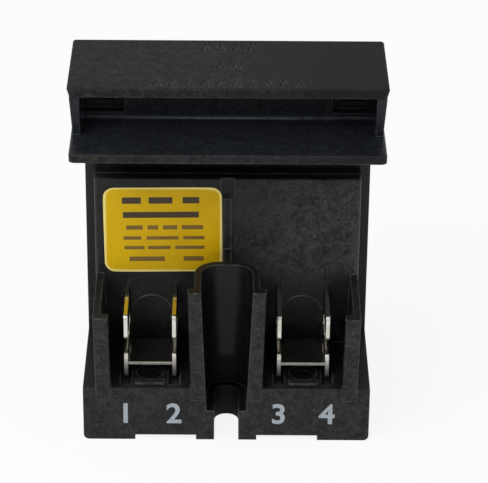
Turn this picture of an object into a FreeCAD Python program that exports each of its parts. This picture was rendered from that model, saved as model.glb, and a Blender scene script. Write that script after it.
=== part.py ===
"""Removable pull-out head of a two-pole AC disconnect (the part that is pulled to open the circuit).

Millimetres. X runs across the head, +Y is the LINE side, -Y the LOAD side, +Z is the pull direction.
The origin is the centre of the footprint, on the plane of the feet. The LINE half mirrors the LOAD half.
"""
import FreeCAD, Part
import os
from FreeCAD import Vector

# Overall sizes
body_width = 71.7          # guide plate and base, side to side
body_height = 74.75        # feet to the underside of the flange
half_depth = 31.8          # centre plane to the front of the posts
general_clearance = 0.15   # between pieces that are pushed together

# Pull handle
flange_width, flange_depth, flange_thickness = 76.7, 52.4, 2.15
flange_corner, flange_edge = 1.5, 0.5
grip_width_low, grip_width_high, grip_depth, grip_thickness = 77.2, 78.6, 29.8, 2.45
grip_corner, grip_edge = 0.9, 0.5
finger_gap = 10.0          # flange to the underside of the grip
end_wall = 2.25
web_depth, web_root_radius = 11.3, 1.2
pocket_width, pocket_sill, pocket_height, pocket_depth = 10.4, 1.9, 6.0, 2.6
mark_depth, mark_stroke, mark_width, mark_height, mark_pitch = 0.3, 0.75, 2.7, 5.6, 3.85
mark_rows = ((10.4, 4), (-0.2, 2), (-10.9, 10))   # (row centre in Y, marks in the row)

# Guide plate
plate_thickness = 2.4
plate_foot_gap = 1.35      # the plate stops above the feet
tongue_width, tongue_height = 8.0, 8.8
barb_width, barb_height, barb_sill = 5.6, 2.2, 5.6

# Contact carrier (one half; the other is its mirror image)
base_height, base_corner = 14.85, 1.4
post_proud = 0.25          # posts stand this far in front of the base's face
front_wall, skin, floor_thickness = 2.4, 1.9, 2.4
foot_relief = 1.35
foot_relief_near, foot_relief_far = 7.6, 22.9
panel_width, panel_face, panel_skin, panel_top = 66.8, 8.0, 2.6, 61.7
panel_corner, blade_cover = 1.2, 4.4   # solid panel over the blades
panel_cell_webs = (-16.0, 0.0, 16.0)
post_foot = 11.5           # height at which the posts run out into the base
outer_post_top, outer_post_width = 34.9, 3.8
outer_post_reach_high, outer_post_reach_low = 33.1, 32.6
inner_post_top, inner_post_reach_high, inner_post_reach_low = 42.2, 9.7, 8.9
edge_round = 0.5

# Channel for the base's centre post
channel_half_high, channel_half_low, channel_back, channel_radius = 6.4, 5.0, 17.0, 4.6
channel_step, channel_wall = 8.4, 1.7
neck_half, neck_back = 3.05, 19.1
centre_rib, rib_proud, rib_top = 1.9, 0.6, 56.5
notch_width, notch_depth = 3.4, 0.5
seam_width, seam_depth = 0.6, 0.8
lip_width, lip_height = 7.2, 0.45

# Jumper blades
blade_thickness, blade_height = 1.0, 17.8
blade_sink = 1.05          # how far the blades sit down in the floor's grooves
blade_tip = 24.6
lower_prong, throat_gap, throat_inset = 6.9, 4.0, 0.7   # the throat ends this far in front of the panel
prong_corner, throat_corner = 1.2, 1.4
pole_centre, blade_spacing = 19.2, 12.1
slot_side_clearance, slot_height_clearance = 0.2, 0.15
bridge_thickness, bridge_drop, bridge_front, bridge_back = 0.8, 2.9, 24.2, 12.2
tab_length, tab_clearance = 3.0, 0.05
groove_width, groove_depth = 2.8, 1.2
floor_hole_radius, floor_hole_out, floor_hole_depth = 3.4, 23.3, 1.5

# Clamp screws, driven from the LINE side
screw_radius, pilot_clearance, through_clearance, screw_bite = 1.5, 0.06, 0.3, 4.6
screw_drop = 8.2           # below the top of the blades
head_radius, head_height, head_clearance, head_recess = 2.9, 1.6, 0.35, 2.2
drive_width, drive_length, drive_depth = 0.7, 3.4, 0.9
boss_radius, boss_proud = 5.2, 0.2

# Rating label
label_width, label_height, label_thickness, label_corner = 29.8, 23.8, 0.15, 2.9
label_left, label_low, label_tilt = -31.1, 35.4, -0.8

# Worked out from the sizes above
flange_top = body_height + flange_thickness
grip_bottom = flange_top + finger_gap
grip_top = grip_bottom + grip_thickness
front_face = half_depth - post_proud
plate_half = plate_thickness / 2
blade_bottom = base_height - blade_sink
blade_top = blade_bottom + blade_height
panel_block_top = blade_top + blade_cover
throat_root = panel_face + throat_inset
blade_offsets = (-blade_spacing / 2, blade_spacing / 2)
blade_places = [side * pole_centre + offset for side in (-1, 1) for offset in blade_offsets]
blade_names = ("blade_left_outer", "blade_left_inner", "blade_right_inner", "blade_right_outer")
lower_prong_top = blade_bottom + lower_prong
bridge_z = lower_prong_top - bridge_drop
screw_z = blade_top - screw_drop
overrun = 1.0              # how far a cutting shape runs past the material


def box(x0, x1, y0, y1, z0, z1):
    """Box between two corners."""
    return Part.makeBox(x1 - x0, y1 - y0, z1 - z0, Vector(x0, y0, z0))


def prism(points, depth):
    """Solid between an outline of corner points and its copy moved by the vector depth."""
    outline = Part.makePolygon(points + [points[0]])
    return Part.Face(outline).extrude(depth)


def prism_along_y(points_xz, y0, y1):
    return prism([Vector(x, y0, z) for x, z in points_xz], Vector(0, y1 - y0, 0))


def prism_along_x(points_yz, x0, x1):
    return prism([Vector(x0, y, z) for y, z in points_yz], Vector(x1 - x0, 0, 0))


def joined(shapes):
    return shapes[0].multiFuse(shapes[1:]).removeSplitter()


def both_sides(shape):
    """The shape and its mirror image across the plane X = 0."""
    return [shape, shape.mirror(Vector(0, 0, 0), Vector(1, 0, 0))]


def both_faces(shape):
    """The shape and its mirror image across the plane Y = 0."""
    return [shape, shape.mirror(Vector(0, 0, 0), Vector(0, 1, 0))]


def rounded(shape, radius, chosen):
    """Fillet the edges whose middle point satisfies chosen."""
    edges = []
    for edge in shape.Edges:
        middle = edge.valueAt((edge.FirstParameter + edge.LastParameter) / 2)
        if chosen(middle):
            edges.append(edge)
    return shape.makeFillet(radius, edges)


def near(value, target):
    return abs(value - target) < 0.01


def saved(name, shape):
    shape.exportStep("parts/" + name + ".step")


def pull_mark(x, y):
    """Cutter for one plain chevron that points away from the LOAD side."""
    half, rise = mark_width / 2, mark_height / 2
    outline = [(x - half, y - rise), (x - half + mark_stroke, y - rise), (x, y + rise - 2 * mark_stroke),
               (x + half - mark_stroke, y - rise), (x + half, y - rise), (x, y + rise)]
    points = [Vector(px, py, grip_top - mark_depth) for px, py in outline]
    return prism(points, Vector(0, 0, mark_depth + overrun))


def pull_handle():
    flange = box(-flange_width / 2, flange_width / 2, -flange_depth / 2, flange_depth / 2,
                 body_height, flange_top)
    flange = rounded(flange, flange_corner, lambda p: near(p.z, body_height + flange_thickness / 2))
    flange = rounded(flange, flange_edge, lambda p: near(p.z, flange_top))

    low, high, reach = grip_width_low / 2, grip_width_high / 2, grip_depth / 2
    grip = prism_along_y([(-low, grip_bottom), (low, grip_bottom), (high, grip_top), (-high, grip_top)],
                         -reach, reach)
    corner_z = grip_bottom + grip_thickness / 2
    grip = rounded(grip, grip_corner, lambda p: near(abs(p.y), reach) and near(p.z, corner_z))
    grip = rounded(grip, grip_edge, lambda p: near(p.z, grip_top))

    foot = flange_width / 2
    inside = foot - end_wall
    wall = prism_along_y([(inside, flange_top - flange_edge),
                          (foot - flange_edge, flange_top - flange_edge),
                          (foot - flange_edge, flange_top), (low, grip_bottom), (inside, grip_bottom)],
                         -reach, reach)
    web_half = web_depth / 2
    web = box(-inside, inside, -web_half, web_half, flange_top, grip_bottom)
    handle = joined([flange, grip, web] + both_sides(wall))
    handle = rounded(handle, web_root_radius, lambda p: near(abs(p.y), web_half) and near(p.z, flange_top))

    pocket = box(inside - pocket_width, inside, web_half - pocket_depth, web_half + overrun,
                 flange_top + pocket_sill, flange_top + pocket_sill + pocket_height)
    socket_half = tongue_width / 2 + general_clearance
    middle = inside - pocket_width / 2
    socket = box(middle - socket_half, middle + socket_half,
                 -plate_half - general_clearance, plate_half + general_clearance,
                 body_height - overrun, body_height + tongue_height + general_clearance)
    window_half = barb_width / 2 + general_clearance
    window = box(middle - window_half, middle + window_half, -web_half, web_half,
                 body_height + barb_sill - general_clearance,
                 body_height + barb_sill + barb_height + general_clearance)
    cutters = [half for side in both_sides(pocket) for half in both_faces(side)]
    cutters += both_sides(socket) + both_sides(window)
    for row_y, count in mark_rows:
        for index in range(count):
            cutters.append(pull_mark((index - (count - 1) / 2) * mark_pitch, row_y))
    return handle.cut(cutters)


def guide_plate():
    half = body_width / 2
    plate = box(-half, half, -plate_half, plate_half, plate_foot_gap, body_height)
    inside = flange_width / 2 - end_wall
    middle = inside - pocket_width / 2
    tongue = box(middle - tongue_width / 2, middle + tongue_width / 2, -plate_half, plate_half,
                 body_height - overrun, body_height + tongue_height)
    barb_reach = web_depth / 2 - pocket_depth - general_clearance
    sill = body_height + barb_sill
    barb = prism_along_x([(-barb_reach, sill), (barb_reach, sill), (plate_half, sill + barb_height),
                          (-plate_half, sill + barb_height)],
                         middle - barb_width / 2, middle + barb_width / 2)
    plate = joined([plate] + both_sides(tongue) + both_sides(barb))
    cutters = [blade_slot(x, -plate_half - overrun, plate_half + overrun) for x in blade_places]
    for x in (-pole_centre, pole_centre):
        cutters.append(Part.makeCylinder(screw_radius + through_clearance, plate_thickness + 2 * overrun,
                                         Vector(x, -plate_half - overrun, screw_z), Vector(0, 1, 0)))
    return plate.cut(cutters)


def blade_slot(x, y0, y1):
    half = blade_thickness / 2 + slot_side_clearance
    return box(x - half, x + half, y0, y1,
               blade_bottom - slot_height_clearance, blade_top + slot_height_clearance)


def channel_outline(half_width, back, radius, z):
    """U in plan, open end at the front, with rounded corners at the back."""
    front = -half_depth - overrun
    left, right = -half_width, half_width
    straight = -back - radius
    turn = radius * 0.5 ** 0.5
    edges = [
        Part.makeLine(Vector(left, front, z), Vector(left, straight, z)),
        Part.Arc(Vector(left, straight, z), Vector(left + radius - turn, straight + turn, z),
                 Vector(left + radius, -back, z)).toShape(),
        Part.makeLine(Vector(left + radius, -back, z), Vector(right - radius, -back, z)),
        Part.Arc(Vector(right - radius, -back, z), Vector(right - radius + turn, straight + turn, z),
                 Vector(right, straight, z)).toShape(),
        Part.makeLine(Vector(right, straight, z), Vector(right, front, z)),
        Part.makeLine(Vector(right, front, z), Vector(left, front, z)),
    ]
    return Part.Wire(edges)


def channel_half(z):
    """Half width of the channel at a height, with its draft."""
    share = (z - channel_step) / (inner_post_top - channel_step)
    return channel_half_low + share * (channel_half_high - channel_half_low)


def channel_solid(extra, z0, z1):
    """Tapered channel, made larger all round by extra."""
    outlines = [channel_outline(channel_half(z) + extra, channel_back - extra, channel_radius + extra, z)
                for z in (z0, z1)]
    return Part.makeLoft(outlines, True, True)


def carrier_base():
    half = body_width / 2
    base = box(-half, half, -front_face, -plate_half, 0, base_height)
    base = rounded(base, base_corner, lambda p: near(abs(p.x), half) and near(p.z, 0))
    base = rounded(base, edge_round, lambda p: near(p.y, -front_face) and near(p.z, base_height))
    inner, outer = inner_post_reach_high + 0.2, panel_width / 2 - front_wall
    core = box(inner, outer, -front_face + front_wall, -plate_half - front_wall,
               -overrun, base_height - floor_thickness)
    relief = box(foot_relief_near, foot_relief_far, -half_depth - overrun, 0, -overrun, foot_relief)
    return base.cut(both_sides(core) + both_sides(relief))


def carrier_panel():
    half = panel_width / 2
    panel = box(-half, half, -panel_face, -plate_half, base_height - overrun, panel_top)
    panel = rounded(panel, panel_corner, lambda p: near(abs(p.x), half) and near(p.y, -panel_face))
    panel = rounded(panel, edge_round, lambda p: near(p.y, -panel_face) and near(p.z, panel_top))
    walls = [-half] + list(panel_cell_webs) + [half]
    cells = []
    for low, high in zip(walls, walls[1:]):
        left = low + (skin if low == -half else skin / 2)
        right = high - (skin if high == half else skin / 2)
        cells.append(box(left, right, -panel_face + panel_skin, 0, panel_block_top, panel_top - panel_skin))
    seam_front = -panel_face + panel_skin
    seam = box(-half - overrun, half + overrun, seam_front, seam_front + seam_width,
               panel_top - seam_depth, panel_top + overrun)
    return panel.cut(cells + [seam])


def carrier_walls():
    """Outer side walls, and the posts each side of the two contact windows."""
    lean = [(outer_post_reach_high, outer_post_top), (outer_post_reach_low, post_foot)]
    side_wall = prism_along_y([lean[0], lean[1], (lean[1][0] - skin, post_foot),
                               (lean[0][0] - skin, outer_post_top)], -half_depth, -panel_face + overrun)
    trim = box(0, body_width, -half_depth - overrun, 0, 0, base_height - overrun)
    side_wall = side_wall.cut(trim)
    outer_post = prism_along_y([lean[0], lean[1], (lean[1][0] - outer_post_width, post_foot),
                                (lean[0][0] - outer_post_width, outer_post_top)],
                               -half_depth, -half_depth + front_wall)
    outer_post = rounded(outer_post, edge_round, lambda p: near(p.y, -half_depth) and p.z > post_foot + 1)
    inner_post = prism_along_y([(0.0, inner_post_top), (inner_post_reach_high, inner_post_top),
                                (inner_post_reach_low, post_foot), (0.0, post_foot)],
                               -half_depth, -half_depth + front_wall)
    inner_post = rounded(inner_post, edge_round,
                         lambda p: near(p.y, -half_depth) and p.x > 1 and p.z > post_foot + 1)
    return both_sides(side_wall) + both_sides(outer_post) + both_sides(inner_post)


def contact_carrier():
    """LOAD half of the carrier: base, panel, posts, centre channel, and the ways for the blades."""
    shell = channel_solid(channel_wall, base_height - overrun, inner_post_top)
    shell = shell.cut(box(-body_width, body_width, -2 * half_depth, -half_depth, 0, body_height))
    shell_back = channel_back - channel_wall
    rib_half = centre_rib / 2
    gusset = box(-rib_half, rib_half, -shell_back - overrun, -panel_face + overrun,
                 base_height - overrun, inner_post_top)
    rib = box(-rib_half, rib_half, -panel_face - rib_proud, -panel_face + overrun, base_height, rib_top)
    solids = [carrier_base(), carrier_panel()] + carrier_walls() + [shell, gusset, rib]
    for x in (-pole_centre, pole_centre):
        solids.append(Part.makeCylinder(boss_radius, boss_proud + overrun,
                                        Vector(x, -panel_face - boss_proud, screw_z), Vector(0, 1, 0)))
        lip_front = -half_depth + front_wall
        solids.append(box(x - lip_width / 2, x + lip_width / 2, lip_front, lip_front + skin,
                          base_height - overrun, base_height + lip_height))
    body = joined(solids)

    cutters = [channel_solid(0, channel_step, inner_post_top + overrun)]
    neck = Part.Face(channel_outline(neck_half, neck_back, neck_half - 0.05, -overrun))
    cutters.append(neck.extrude(Vector(0, 0, channel_step + 2 * overrun)))
    cutters.append(box(-notch_width / 2, notch_width / 2, -panel_face - overrun, -panel_face + notch_depth,
                       rib_top, panel_top + overrun))
    for x in blade_places:
        cutters.append(blade_slot(x, -panel_face - overrun, 0))
        cutters.append(box(x - groove_width / 2, x + groove_width / 2,
                           -half_depth + front_wall, -panel_face,
                           base_height - groove_depth, base_height + overrun))
    for x in (-pole_centre, pole_centre):
        cutters.append(Part.makeCylinder(floor_hole_radius, floor_hole_depth + overrun,
                                         Vector(x, -floor_hole_out, base_height - floor_hole_depth)))
    return body.cut(cutters)


def load_carrier():
    """LOAD half, with a blind pilot hole for each clamp screw."""
    pilots = [Part.makeCylinder(screw_radius + pilot_clearance, screw_bite + overrun,
                                Vector(x, -plate_half - screw_bite, screw_z), Vector(0, 1, 0))
              for x in (-pole_centre, pole_centre)]
    return contact_carrier().cut(pilots)


def line_carrier():
    """LINE half, with a through hole and a sunk seat for each clamp screw's head."""
    body = contact_carrier().mirror(Vector(0, 0, 0), Vector(0, 1, 0))
    seat = panel_face + boss_proud - head_recess
    cutters = []
    for x in (-pole_centre, pole_centre):
        cutters.append(Part.makeCylinder(screw_radius + through_clearance, panel_face,
                                         Vector(x, 0, screw_z), Vector(0, 1, 0)))
        cutters.append(Part.makeCylinder(head_radius + head_clearance, head_recess + overrun,
                                         Vector(x, seat, screw_z), Vector(0, 1, 0)))
    return body.cut(cutters)


def clamp_screw(x):
    """Pan-head screw with a cross drive, its head towards the LINE side."""
    along = Vector(0, 1, 0)
    seat = panel_face + boss_proud - head_recess
    tip = -plate_half - screw_bite + general_clearance
    shank = Part.makeCylinder(screw_radius, seat - tip, Vector(x, tip, screw_z), along)
    shank = rounded(shank, screw_radius / 2, lambda p: near(p.y, tip))
    head = Part.makeCylinder(head_radius, head_height, Vector(x, seat, screw_z), along)
    head = rounded(head, head_height / 2, lambda p: near(p.y, seat + head_height))
    floor_y = seat + head_height - drive_depth
    wide, long = drive_width / 2, drive_length / 2
    cross = [box(x - wide, x + wide, floor_y, floor_y + 2 * drive_depth, screw_z - long, screw_z + long),
             box(x - long, x + long, floor_y, floor_y + 2 * drive_depth, screw_z - wide, screw_z + wide)]
    return joined([shank, head]).cut(cross)


def jumper_blade(x):
    """Plate with a forked contact at each end; the throats open towards LOAD and LINE."""
    half = blade_thickness / 2
    blade = box(x - half, x + half, -blade_tip, blade_tip, blade_bottom, blade_top)
    throat = box(x - half - overrun, x + half + overrun, throat_root, blade_tip + overrun,
                 lower_prong_top, lower_prong_top + throat_gap)
    blade = blade.cut(both_faces(throat))
    blade = rounded(blade, throat_corner,
                    lambda p: near(abs(p.y), throat_root) and near(p.x, x))
    blade = rounded(blade, prong_corner, lambda p: near(abs(p.y), blade_tip) and near(p.x, x))
    middle = (bridge_front + bridge_back) / 2
    grown = tab_length / 2 + tab_clearance
    tall = bridge_thickness / 2 + tab_clearance
    hole = box(x - half - overrun, x + half + overrun, middle - grown, middle + grown,
               bridge_z - tall, bridge_z + tall)
    return blade.cut(both_faces(hole))


def bridge_plate(side):
    """Cross plate of one pole on the LOAD side, with a tab staked through each blade."""
    left = side * pole_centre - blade_spacing / 2
    right = left + blade_spacing
    half = blade_thickness / 2
    low, high = bridge_z - bridge_thickness / 2, bridge_z + bridge_thickness / 2
    plate = box(left + half, right - half, -bridge_front, -bridge_back, low, high)
    middle = -(bridge_front + bridge_back) / 2
    tabs = box(left - half, right + half, middle - tab_length / 2, middle + tab_length / 2, low, high)
    return joined([plate, tabs])


def rating_label():
    face = -panel_face
    low, high = label_low, label_low + label_height
    label = box(label_left, label_left + label_width, face - label_thickness, face, low, high)
    label = rounded(label, label_corner, lambda p: near(p.y, face - label_thickness / 2))
    middle = Vector(label_left + label_width / 2, face, (low + high) / 2)
    label.rotate(middle, Vector(0, 1, 0), label_tilt)
    return label


def main():
    os.makedirs("parts", exist_ok=True)
    saved("pull_handle", pull_handle())
    saved("guide_plate", guide_plate())
    saved("load_carrier", load_carrier())
    saved("line_carrier", line_carrier())
    for name, x in zip(blade_names, blade_places):
        saved(name, jumper_blade(x))
    for word, side in (("left", -1), ("right", 1)):
        load_bridge, line_bridge = both_faces(bridge_plate(side))
        saved("bridge_" + word + "_load", load_bridge)
        saved("bridge_" + word + "_line", line_bridge)
        saved("clamp_screw_" + word, clamp_screw(side * pole_centre))
    saved("rating_label", rating_label())


main()
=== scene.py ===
"""Looks of the pull-out head: finishes, printed numbers, label dashes, light and camera."""

import math

import bmesh
import bpy
from mathutils import Matrix, Vector


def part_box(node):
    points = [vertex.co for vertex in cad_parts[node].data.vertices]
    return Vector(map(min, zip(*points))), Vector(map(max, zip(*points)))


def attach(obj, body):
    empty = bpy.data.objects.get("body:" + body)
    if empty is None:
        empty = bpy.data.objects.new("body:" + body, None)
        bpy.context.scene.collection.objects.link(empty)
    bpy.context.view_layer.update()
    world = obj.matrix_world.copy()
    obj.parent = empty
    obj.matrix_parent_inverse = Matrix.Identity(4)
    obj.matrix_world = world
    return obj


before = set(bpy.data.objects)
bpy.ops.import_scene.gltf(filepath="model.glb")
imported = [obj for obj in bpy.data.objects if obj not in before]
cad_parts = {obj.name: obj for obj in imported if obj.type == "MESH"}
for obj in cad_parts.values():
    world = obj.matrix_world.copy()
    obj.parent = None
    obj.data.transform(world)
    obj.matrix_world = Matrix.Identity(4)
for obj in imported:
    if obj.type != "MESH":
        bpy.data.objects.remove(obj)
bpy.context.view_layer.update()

MM = 0.001
HEAD = "root"
IMAGE_WIDTH = 488

# Places read from the frame
handle_low, handle_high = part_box("pull_handle")
load_low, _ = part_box("load_carrier")
_, line_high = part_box("line_carrier")
label_low, label_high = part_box("rating_label")
blade_boxes = {name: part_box(name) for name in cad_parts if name.startswith("blade_")}
panel_face = -label_high[1]
blade_reach = max(-low[1] for low, high in blade_boxes.values())
post_proud = 0.25 * MM
front_face = -load_low[1]
flange_thickness = 2.15 * MM
flange_top = handle_low[2] + flange_thickness
grip_underside = handle_high[2] - 2.45 * MM
web_face = 5.65 * MM
label_width, label_height, label_tilt = 29.8 * MM, 23.8 * MM, math.radians(-0.8)
number_height, number_middle = 5.6 * MM, 7.7 * MM
capital_share = 0.70       # height of a figure as a share of the type size

WORLD_LIGHT = 0.42


# ---------------------------------------------------------------- shader tools

class Wire:
    """A socket of a material. Arithmetic on it adds Math nodes."""

    def __init__(self, board, socket):
        self.board = board
        self.socket = socket

    def maths(self, operation, first, second=0.0, clamp=False):
        return self.board.add("ShaderNodeMath", {"operation": operation, "use_clamp": clamp},
                              {0: first, 1: second})

    def __add__(self, other):
        return self.maths("ADD", self, other)

    def __sub__(self, other):
        return self.maths("SUBTRACT", self, other)

    def __rsub__(self, other):
        return self.maths("SUBTRACT", other, self)

    def __mul__(self, other):
        return self.maths("MULTIPLY", self, other)

    def __truediv__(self, other):
        return self.maths("DIVIDE", self, other)

    def __pow__(self, other):
        return self.maths("POWER", self, other)

    __radd__ = __add__
    __rmul__ = __mul__

    def clamped(self):
        return self.maths("ADD", self, 0.0, clamp=True)

    def size(self):
        return self.maths("ABSOLUTE", self)

    def at_least(self, floor):
        return self.maths("MAXIMUM", self, floor)

    def step(self, low, high):
        """0 below low, 1 above high, smooth between; the other way round if low is above high."""
        flipped = low > high
        ends = {"Value": self, "From Min": min(low, high), "From Max": max(low, high),
                "To Min": 1.0 if flipped else 0.0, "To Max": 0.0 if flipped else 1.0}
        return self.board.add("ShaderNodeMapRange", {"interpolation_type": "SMOOTHSTEP"}, ends)


class Board:
    """The node tree of a material or of the world, being wired up."""

    def __init__(self, owner):
        self.owner = owner
        owner.use_nodes = True
        self.tree = owner.node_tree
        self.tree.nodes.clear()

    def add(self, kind, settings=None, sockets=None, output=0):
        """Add a node: settings first, then values or wires of its sockets; gives back one output."""
        node = self.tree.nodes.new(kind)
        for key, value in (settings or {}).items():
            setattr(node, key, value)
        for key, value in (sockets or {}).items():
            if isinstance(value, Wire):
                self.tree.links.new(value.socket, node.inputs[key])
            else:
                node.inputs[key].default_value = value
        return Wire(self, node.outputs[output]) if node.outputs else None

    def place(self):
        return self.add("ShaderNodeTexCoord", output="Object")

    def axes(self, vector):
        node = self.add("ShaderNodeSeparateXYZ", None, {0: vector}).socket.node
        return [Wire(self, socket) for socket in node.outputs]

    def stretched(self, vector, scale):
        return self.add("ShaderNodeVectorMath", {"operation": "MULTIPLY"}, {0: vector, 1: scale})

    def noise(self, vector, size, detail=2.0, roughness=0.5, distortion=0.0):
        """Noise whose features are about size metres across."""
        return self.add("ShaderNodeTexNoise", None,
                        {"Vector": vector, "Scale": 1.0 / size, "Detail": detail,
                         "Roughness": roughness, "Distortion": distortion})

    def blend(self, factor, first, second, mode="MIX"):
        """Colour between first and second."""
        return self.add("ShaderNodeMix", {"data_type": "RGBA", "blend_type": mode},
                        {0: factor, 6: first, 7: second}, output=2)

    def soft_edge(self, radius):
        """Normal of the surface as if its edges had the radius."""
        return self.add("ShaderNodeBevel", {"samples": 8}, {"Radius": radius}, output="Normal")

    def edge_mask(self, soft_normal):
        """0 on faces, rising towards 1 on outer and inner edges."""
        plain = self.add("ShaderNodeNewGeometry", output="Normal")
        node = self.add("ShaderNodeVectorMath", {"operation": "DOT_PRODUCT"}, {0: soft_normal, 1: plain},
                        output="Value")
        return (1.0 - node).clamped()

    def relief(self, height, depth, normal=None):
        sockets = {"Height": height, "Distance": depth}
        if normal is not None:
            sockets["Normal"] = normal
        return self.add("ShaderNodeBump", None, sockets, output="Normal")

    def finish(self, **sockets):
        """Close the material with one Principled shader; socket names use _ for a space."""
        named = {key.replace("_", " "): value for key, value in sockets.items()}
        shader = self.add("ShaderNodeBsdfPrincipled", None, named)
        self.add("ShaderNodeOutputMaterial", None, {"Surface": shader})
        return self.owner


def material_board(name):
    return Board(bpy.data.materials.new(name))


def grey(level, warmth=0.0):
    """Neutral colour, slightly warm or cold."""
    return (level * (1 + warmth), level, level * (1 - warmth), 1.0)


# ---------------------------------------------------------------- finishes

def black_moulding(board, level, roughness, bloom, grain_depth, wear=1.0, tint=(0.99, 1.0, 0.99)):
    """Black thermoset: cloudy tone, mottled grain, pale edges that are partly scuffed wear and partly a
    painted highlight, and a little dust.

    level and roughness may be wires; bloom is how strong the pale mottling is; tint may hold wires.
    """
    place = board.place()
    cloud = board.noise(place, 20 * MM, 3.0, 0.55)
    blotch = board.noise(place, 2.2 * MM, 6.0, 0.72, 0.6)
    grain = board.noise(place, 0.55 * MM, 2.0, 0.6)
    along = board.stretched(place, (0.08, 1.0, 1.0))
    scratch = board.noise(along, 0.5 * MM).step(0.62, 0.72)
    flecks = board.noise(place, 0.7 * MM, 1.0, 0.4).step(0.74, 0.80)
    soft = board.soft_edge(0.3 * MM)
    wide = board.soft_edge(0.55 * MM)
    edge = (board.edge_mask(wide) * 8.0).clamped()
    # Pale edges, inner edges too: partly rubbed wear, partly a painted highlight.
    rubbed_and_highlit = edge * (0.35 + board.noise(place, 1.8 * MM, 5.0, 0.75).step(0.38, 0.62)) * wear
    mottle = (blotch - 0.5) * 4.2 + (grain - 0.5) * 2.6
    amount = level * (0.65 + cloud * 0.7) * (1.0 + mottle * bloom).at_least(0.25)
    amount = amount + scratch * level * bloom * 0.6 + rubbed_and_highlit * 0.030 + flecks * 0.040
    tone = board.add("ShaderNodeCombineColor", None,
                     {"Red": amount * tint[0], "Green": amount * tint[1], "Blue": amount * tint[2]})
    rough = (roughness + (blotch - 0.5) * 0.35 + (cloud - 0.5) * 0.10 + rubbed_and_highlit * 0.10).clamped()
    normal = board.relief(grain * 0.6 + blotch, grain_depth, soft)
    return board.finish(Base_Color=tone, Roughness=rough, Normal=normal, Specular_IOR_Level=0.22)


def between(value, low, high, blur=0.3 * MM):
    """1 where a coordinate lies from low to high."""
    return value.step(low - blur, low) * value.step(high + blur, high)


def handle_plastic():
    """Handle: matt, handled skin outside, glossy and bluish in the finger channels; the bluish tint is a
    painted reflection, the channels' lifted colour is painted light, the skin's darkening towards the
    right end is painted shade, and the pale line at the web's root is a little dust and mostly a painted
    highlight.
    """
    board = material_board("handle_plastic")
    x, y, z = board.axes(board.place())
    recess = between(z, flange_top - 0.05 * MM, grip_underside - 0.3 * MM, 0.25 * MM)
    # Pale line along the web's root: a little dust, and mostly a painted highlight, strongest in the
    # middle of the grip.
    root = between(z, flange_top + 0.35 * MM, flange_top + 0.6 * MM, 0.15 * MM)
    root = root * y.size().step(web_face + 1.35 * MM, web_face + 0.85 * MM)
    middle = x.size().step(34 * MM, 2 * MM)
    # Painted shade: the grip's skin is darkened towards its right end, away from the key lamp.
    painted_shade_rightwards = 1.0 - x.step(-10 * MM, 34 * MM) * 0.65
    scuff = between(x, -9 * MM, -1 * MM, 2 * MM) * y.step(-17 * MM, -19 * MM)
    scuff = scuff * z.step(85 * MM, 88 * MM)
    # In the finger channels the colour is lifted to a fixed level: painted light in the shade under the
    # grip.
    level = (0.0100 + scuff * 0.014) * painted_shade_rightwards * (1.0 - recess) + recess * 0.0125
    # Painted highlight along the web's root, brightest in the middle.
    level = level + root * recess * (0.006 + middle * 0.060)
    roughness = 0.56 - recess * 0.30
    # Painted reflection: the finger channels are tinted bluish.
    tint = (0.99 - recess * 0.12, 1.0, 0.99 + recess * 0.28)
    bloom, wear = 1.6 - recess * 1.15, 1.6 - recess * 0.8
    return black_moulding(board, level, roughness, bloom, 0.10 * MM, wear, tint)


def plate_plastic():
    """Guide plate: drawn smooth by sliding in its grooves."""
    board = material_board("plate_plastic")
    level = board.noise(board.place(), 9 * MM) * 0.014 + 0.006
    return black_moulding(board, level, 0.36, 0.6, 0.02 * MM)


def carrier_plastic():
    """Carrier: rubbed grey post fronts, mottled panel, dark smooth pockets; painted shade low in the
    centre channel and painted light on the top shelf under the flange.
    """
    board = material_board("carrier_plastic")
    x, y, z = board.axes(board.place())
    out = y.size()
    panel = between(out, panel_face - 0.2 * MM, panel_face + 0.9 * MM) * z.step(30 * MM, 38 * MM)
    low_panel = z.step(66 * MM, 56 * MM)
    right = x.step(0.5 * MM, 1.5 * MM) * (0.45 + x.step(4 * MM, 20 * MM) * 0.55)
    posts = out.step(front_face - 0.18 * MM, front_face - 0.06 * MM)
    face = out.step(front_face - 1.2 * MM, front_face - 0.4 * MM)
    inside_face = front_face - 0.4 * MM
    # Painted shade: low in the centre channel, behind the front face, the colour is darkened.
    neck_painted_shade = x.size().step(7.0 * MM, 6.4 * MM) * z.step(17 * MM, 15.5 * MM)
    neck_painted_shade = neck_painted_shade * out.step(inside_face, inside_face - 0.3 * MM)
    # Painted light: the top shelf, in the flange's shadow, is given a lighter colour.
    shelf_painted_light = z.step(70.5 * MM, 72.5 * MM)
    level = 0.0085 + panel * (0.003 + right * low_panel * 0.014) + face * 0.0045 + posts * 0.002
    level = level * (1.0 - neck_painted_shade * 0.75) + shelf_painted_light * 0.016
    roughness = 0.40 + panel * 0.06 + panel * right * 0.06 + face * 0.08 + neck_painted_shade * 0.3
    bloom = 0.70 + panel * right * 0.45 + face * 0.60
    return black_moulding(board, level, roughness, bloom, 0.07 * MM, 1.7)


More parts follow.
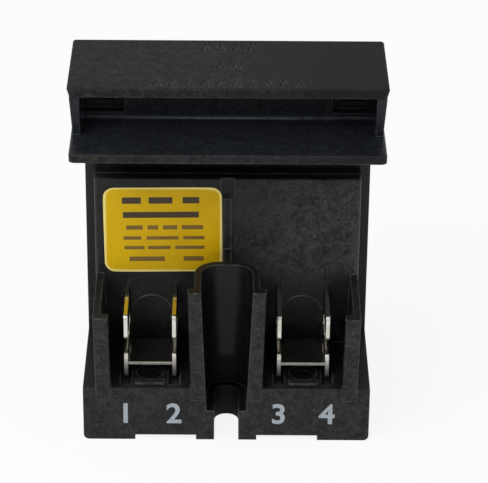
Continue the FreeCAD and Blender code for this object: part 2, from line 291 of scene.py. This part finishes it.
def tinned_copper(name, level=0.80, shade_behind_ends=0.0):
    """Tin plated strip: rolled along its length, bright sheared ends, faint warm tarnish.

    shade_behind_ends is how dark the painted shade behind the sheared ends is; on the bridges it darkens
    the tops, which sit in shade.
    """
    board = material_board(name)
    place = board.place()
    rolled = board.noise(board.stretched(place, (1.0, 0.06, 1.0)), 0.25 * MM, 3.0, 0.6)
    tarnish = board.noise(place, 4.0 * MM, 4.0, 0.6, 0.5)
    spots = board.noise(place, 0.9 * MM, 2.0, 0.5).step(0.62, 0.74)
    soft = board.soft_edge(0.18 * MM)
    tone = board.blend(tarnish.step(0.35, 0.75), (level, level * 0.985, level * 0.95, 1),
                       (level * 0.80, level * 0.76, level * 0.66, 1))
    tone = board.blend(spots * 0.35, tone, (0.30, 0.27, 0.22, 1))
    x, y, z = board.axes(place)
    sheared = y.size().step(blade_reach - 0.9 * MM, blade_reach - 0.5 * MM)
    # Painted shade: everything behind the sheared ends is darkened by shade_behind_ends.
    tone = board.blend((1.0 - sheared) * shade_behind_ends, tone, (0.14, 0.13, 0.11, 1))
    rough = (0.09 + rolled * 0.07 + spots * 0.10 + sheared * 0.28).clamped()
    normal = board.relief(rolled * 0.3 + tarnish, 0.004 * MM, soft)
    return board.finish(Base_Color=tone, Roughness=rough, Metallic=1.0, Normal=normal)


def zinc_steel(name):
    """Screw finish: dull zinc with fine turned marks."""
    board = material_board(name)
    place = board.place()
    mottled = board.noise(place, 0.6 * MM, 4.0, 0.65)
    soft = board.soft_edge(0.15 * MM)
    tone = board.blend(mottled.step(0.3, 0.7), (0.50, 0.51, 0.53, 1), (0.66, 0.66, 0.65, 1))
    rough = (0.28 + mottled * 0.2).clamped()
    return board.finish(Base_Color=tone, Roughness=rough, Metallic=1.0,
                        Normal=board.relief(mottled, 0.01 * MM, soft))


def label_film(name):
    """Yellow printed film: a paler band just inside its cut edge, a thin painted shadow line along the
    cut edge itself, and painted light making it lighter towards the left.
    """
    board = material_board(name)
    place = board.place()
    x, y, z = board.axes(place)
    middle = [(low + high) / 2 for low, high in zip(label_low, label_high)]
    half_x = (label_high[0] - label_low[0]) / 2
    half_z = (label_high[2] - label_low[2]) / 2
    across = ((x - middle[0]) / half_x).size()
    up = ((z - middle[2]) / half_z).size()
    spread = across ** 14.0 + up ** 12.0
    rim = spread.step(0.42, 0.60)
    cloud = board.noise(place, 9 * MM, 3.0, 0.5)
    fibres = board.noise(place, 0.5 * MM, 3.0, 0.6)
    # Painted light: the label is lighter towards its left, the side the key lamp is on.
    painted_light_left = ((middle[0] + half_x - x) / (2 * half_x)).clamped()
    tone = board.blend(cloud.step(0.3, 0.75), (0.58, 0.350, 0.0, 1), (0.66, 0.41, 0.0, 1))
    tone = board.blend(painted_light_left * 0.5, tone, (0.76, 0.49, 0.002, 1))
    tone = board.blend(fibres.step(0.35, 0.8) * 0.12, tone, (0.48, 0.28, 0.0, 1))
    tone = board.blend(rim * 0.85, tone, (0.92, 0.78, 0.26, 1))
    # Painted shadow: a thin dark line along the label's outermost edge.
    tone = board.blend(spread.step(0.90, 0.97) * 0.8, tone, (0.10, 0.06, 0.002, 1))
    rough = (0.42 + fibres * 0.12).clamped()
    normal = board.relief(fibres + cloud * 3.0, 0.004 * MM)
    return board.finish(Base_Color=tone, Roughness=rough, Normal=normal, Specular_IOR_Level=0.2)


def printed_ink(name, colour, wear):
    """Thin ink, worn through in small spots."""
    board = material_board(name)
    place = board.place()
    worn = board.noise(place, 0.35 * MM, 4.0, 0.7).step(0.50, 0.66)
    cloud = board.noise(place, 3.0 * MM, 3.0, 0.6).step(0.3, 0.7)
    shade = tuple(channel * 0.72 for channel in colour) + (1.0,)
    tone = board.blend(cloud * 0.6, colour + (1.0,), shade)
    tone = board.blend(worn * wear, tone, grey(0.06))
    return board.finish(Base_Color=tone, Roughness=(0.5 + worn * 0.2).clamped(),
                        Normal=board.relief(worn, 0.01 * MM))


# ---------------------------------------------------------------- pieces

def made(name, mesh, material):
    piece = bpy.data.objects.new(name, mesh)
    bpy.context.scene.collection.objects.link(piece)
    piece.data.materials.clear()
    piece.data.materials.append(material)
    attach(piece, HEAD)
    return piece


def printed_numbers(name, words, facing, plane, material):
    """Numbers printed on the base's face: words is [(text, x)], facing -1 for LOAD and +1 for LINE."""
    joined = bmesh.new()
    for text, x in words:
        curve = bpy.data.curves.new(name, "FONT")
        curve.body = text
        curve.size = number_height / capital_share
        curve.offset = 0.16 * MM
        curve.extrude = 0.02 * MM
        curve.align_x = "CENTER"
        shape = bpy.data.objects.new(name, curve)
        bpy.context.scene.collection.objects.link(shape)
        mesh = bpy.data.meshes.new_from_object(shape)
        bpy.data.objects.remove(shape)
        turn = Matrix.Rotation(math.pi / 2, 4, "X")
        if facing > 0:
            turn = Matrix.Rotation(math.pi, 4, "Z") @ turn
        foot = number_middle - number_height / 2
        mesh.transform(Matrix.Translation((x, plane, foot)) @ turn)
        joined.from_mesh(mesh)
    bmesh.ops.remove_doubles(joined, verts=joined.verts, dist=0.002 * MM)
    mesh = bpy.data.meshes.new(name)
    joined.to_mesh(mesh)
    return made(name, mesh, material)


def bar(joined, middle, size, turn):
    """Thin printed dash, added to a mesh under construction."""
    made_now = bmesh.ops.create_cube(joined, size=1.0)["verts"]
    place = turn @ Matrix.Translation(middle) @ Matrix.Diagonal((size[0], size[1], size[2], 1.0))
    bmesh.ops.transform(joined, matrix=place, verts=made_now)


def label_marks(name, rows, material):
    """Plain ruled dashes on the label, in the rows where a maker would print its data.

    rows is [(height up the label, dash height, (start, length), ...)], in shares of the label.
    """
    middle = Vector(((label_low[0] + label_high[0]) / 2, label_low[1] - 0.008 * MM,
                     (label_low[2] + label_high[2]) / 2))
    turn = Matrix.Translation(middle) @ Matrix.Rotation(label_tilt, 4, "Y")
    joined = bmesh.new()
    for up, tall, *dashes in rows:
        for start, length in dashes:
            centre = Vector(((start + length / 2 - 0.5) * label_width, 0, (up - 0.5) * label_height))
            bar(joined, centre, (length * label_width, 0.016 * MM, tall * label_height), turn)
    mesh = bpy.data.meshes.new(name)
    joined.to_mesh(mesh)
    return made(name, mesh, material)


# ---------------------------------------------------------------- room, light and camera

def seen_white(board, plain, white_share):
    """Plain shader for the light that reaches the object, with pure white for what is looked at."""
    path = board.add("ShaderNodeLightPath").socket.node
    seen = [Wire(board, path.outputs[word]) for word in ("Is Camera Ray", "Is Glossy Ray",
                                                         "Is Transmission Ray")]
    looked_at = (seen[0] + seen[1] + seen[2]).clamped()
    white = board.add("ShaderNodeEmission", None, {"Color": (1, 1, 1, 1), "Strength": 1.0})
    return board.add("ShaderNodeMixShader", None, {0: looked_at * white_share, 1: plain, 2: white})


def floor_and_world():
    size = 3.0
    mesh = bpy.data.meshes.new("floor")
    mesh.from_pydata([(-size, -size, 0), (size, -size, 0), (size, size, 0), (-size, size, 0)], [],
                     [(0, 1, 2, 3)])
    floor = bpy.data.objects.new("floor", mesh)
    floor.location.z = load_low[2] - 0.02 * MM
    bpy.context.scene.collection.objects.link(floor)
    board = material_board("pale_floor")
    plain = board.add("ShaderNodeBsdfDiffuse", None, {"Color": (0.90, 0.90, 0.90, 1)})
    board.add("ShaderNodeOutputMaterial", None, {"Surface": seen_white(board, plain, 0.88)})
    mesh.materials.append(board.owner)

    world = bpy.data.worlds.new("studio")
    bpy.context.scene.world = world
    board = Board(world)
    path = board.add("ShaderNodeLightPath").socket.node
    light = white_background(board, WORLD_LIGHT)
    for ray, strength in (("Is Glossy Ray", 0.5), ("Is Transmission Ray", 1.0), ("Is Camera Ray", 1.0)):
        light = board.add("ShaderNodeMixShader", None, {0: Wire(board, path.outputs[ray]), 1: light,
                                                        2: white_background(board, strength)})
    board.add("ShaderNodeOutputWorld", None, {"Surface": light})


def white_background(board, strength):
    return board.add("ShaderNodeBackground", None, {"Color": (1, 1, 1, 1), "Strength": strength})


def softbox(name, place, target, size, power):
    light = bpy.data.lights.new(name, "AREA")
    light.shape = "RECTANGLE"
    light.size, light.size_y = size
    light.energy = power
    lamp = bpy.data.objects.new(name, light)
    lamp.location = place
    lamp.rotation_euler = (Vector(target) - Vector(place)).to_track_quat("-Z", "Y").to_euler()
    bpy.context.scene.collection.objects.link(lamp)


def camera():
    """Long lens, looking down at the LOAD side."""
    focal_pixels, tilt_down, roll = 2540.0, math.radians(27.95), math.radians(0.35)
    principal_x = 227.3
    data = bpy.data.cameras.new("camera")
    data.sensor_fit = "HORIZONTAL"
    data.sensor_width = 36.0
    data.lens = focal_pixels / IMAGE_WIDTH * data.sensor_width
    data.shift_x = (IMAGE_WIDTH / 2 - principal_x) / IMAGE_WIDTH
    data.clip_start, data.clip_end = 0.05, 20.0
    eye = bpy.data.objects.new("camera", data)
    aim = Matrix.Rotation(math.pi / 2 - tilt_down, 4, "X") @ Matrix.Rotation(roll, 4, "Z")
    flange_front = Vector((0, handle_low[1], flange_top))
    eye.matrix_world = Matrix.Translation(flange_front + Vector((0, -547.74 * MM, 267.41 * MM))) @ aim
    bpy.context.scene.collection.objects.link(eye)
    bpy.context.scene.camera = eye
    bpy.context.scene.view_settings.view_transform = "Standard"


def dress(node, material):
    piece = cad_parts[node]
    piece.data.materials.clear()
    piece.data.materials.append(material)


def main():
    camera()
    floor_and_world()
    middle = (0, 0, (handle_high[2] + load_low[2]) / 2)
    softbox("key", (-0.45, -0.55, 0.75), middle, (0.5, 0.5), 4.6)
    softbox("fill", (0.65, -0.45, 0.35), middle, (0.5, 0.5), 1.6)
    softbox("top", (-0.5, 0.05, 0.8), middle, (0.5, 0.4), 1.6)

    handle = handle_plastic()
    plate = plate_plastic()
    carrier = carrier_plastic()
    metal = tinned_copper("plated_copper")
    # The bridges' tops get painted shade.
    bridge_metal = tinned_copper("plated_bridge", 0.74, 0.7)
    screws = zinc_steel("zinc_steel")
    dress("pull_handle", handle)
    dress("guide_plate", plate)
    dress("load_carrier", carrier)
    dress("line_carrier", carrier)
    dress("rating_label", label_film("label_film"))
    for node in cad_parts:
        if node.startswith("blade_"):
            dress(node, metal)
        elif node.startswith("bridge_"):
            dress(node, bridge_metal)
        elif node.startswith("clamp_screw_"):
            dress(node, screws)

    number_ink = printed_ink("pale_ink", (0.38, 0.43, 0.47), 0.5)
    dark_ink = printed_ink("dark_ink", (0.045, 0.028, 0.006), 0.1)
    thin_ink = printed_ink("thin_ink", (0.20, 0.115, 0.008), 0.1)
    centres = [(low[0] + high[0]) / 2 for low, high in
               (blade_boxes[name] for name in ("blade_left_outer", "blade_left_inner",
                                               "blade_right_inner", "blade_right_outer"))]
    numbers = [str(index + 1) for index in range(len(centres))]
    words = list(zip(numbers, centres))
    printed_numbers("numbers_load", words, -1, load_low[1] + post_proud, number_ink)
    printed_numbers("numbers_line", words, 1, line_high[1] - post_proud, number_ink)
    label_marks("label_marks_large", [(0.85, 0.075, (0.16, 0.16), (0.385, 0.20), (0.67, 0.14)),
                                      (0.68, 0.070, (0.165, 0.64))], dark_ink)
    label_marks("label_marks_small", [(0.53, 0.050, (0.19, 0.14), (0.37, 0.09), (0.50, 0.12),
                                       (0.66, 0.18)),
                                      (0.405, 0.040, (0.165, 0.15), (0.36, 0.27), (0.67, 0.18)),
                                      (0.29, 0.040, (0.17, 0.17), (0.37, 0.19), (0.60, 0.25)),
                                      (0.155, 0.055, (0.21, 0.30), (0.67, 0.17))], thin_ink)


main()
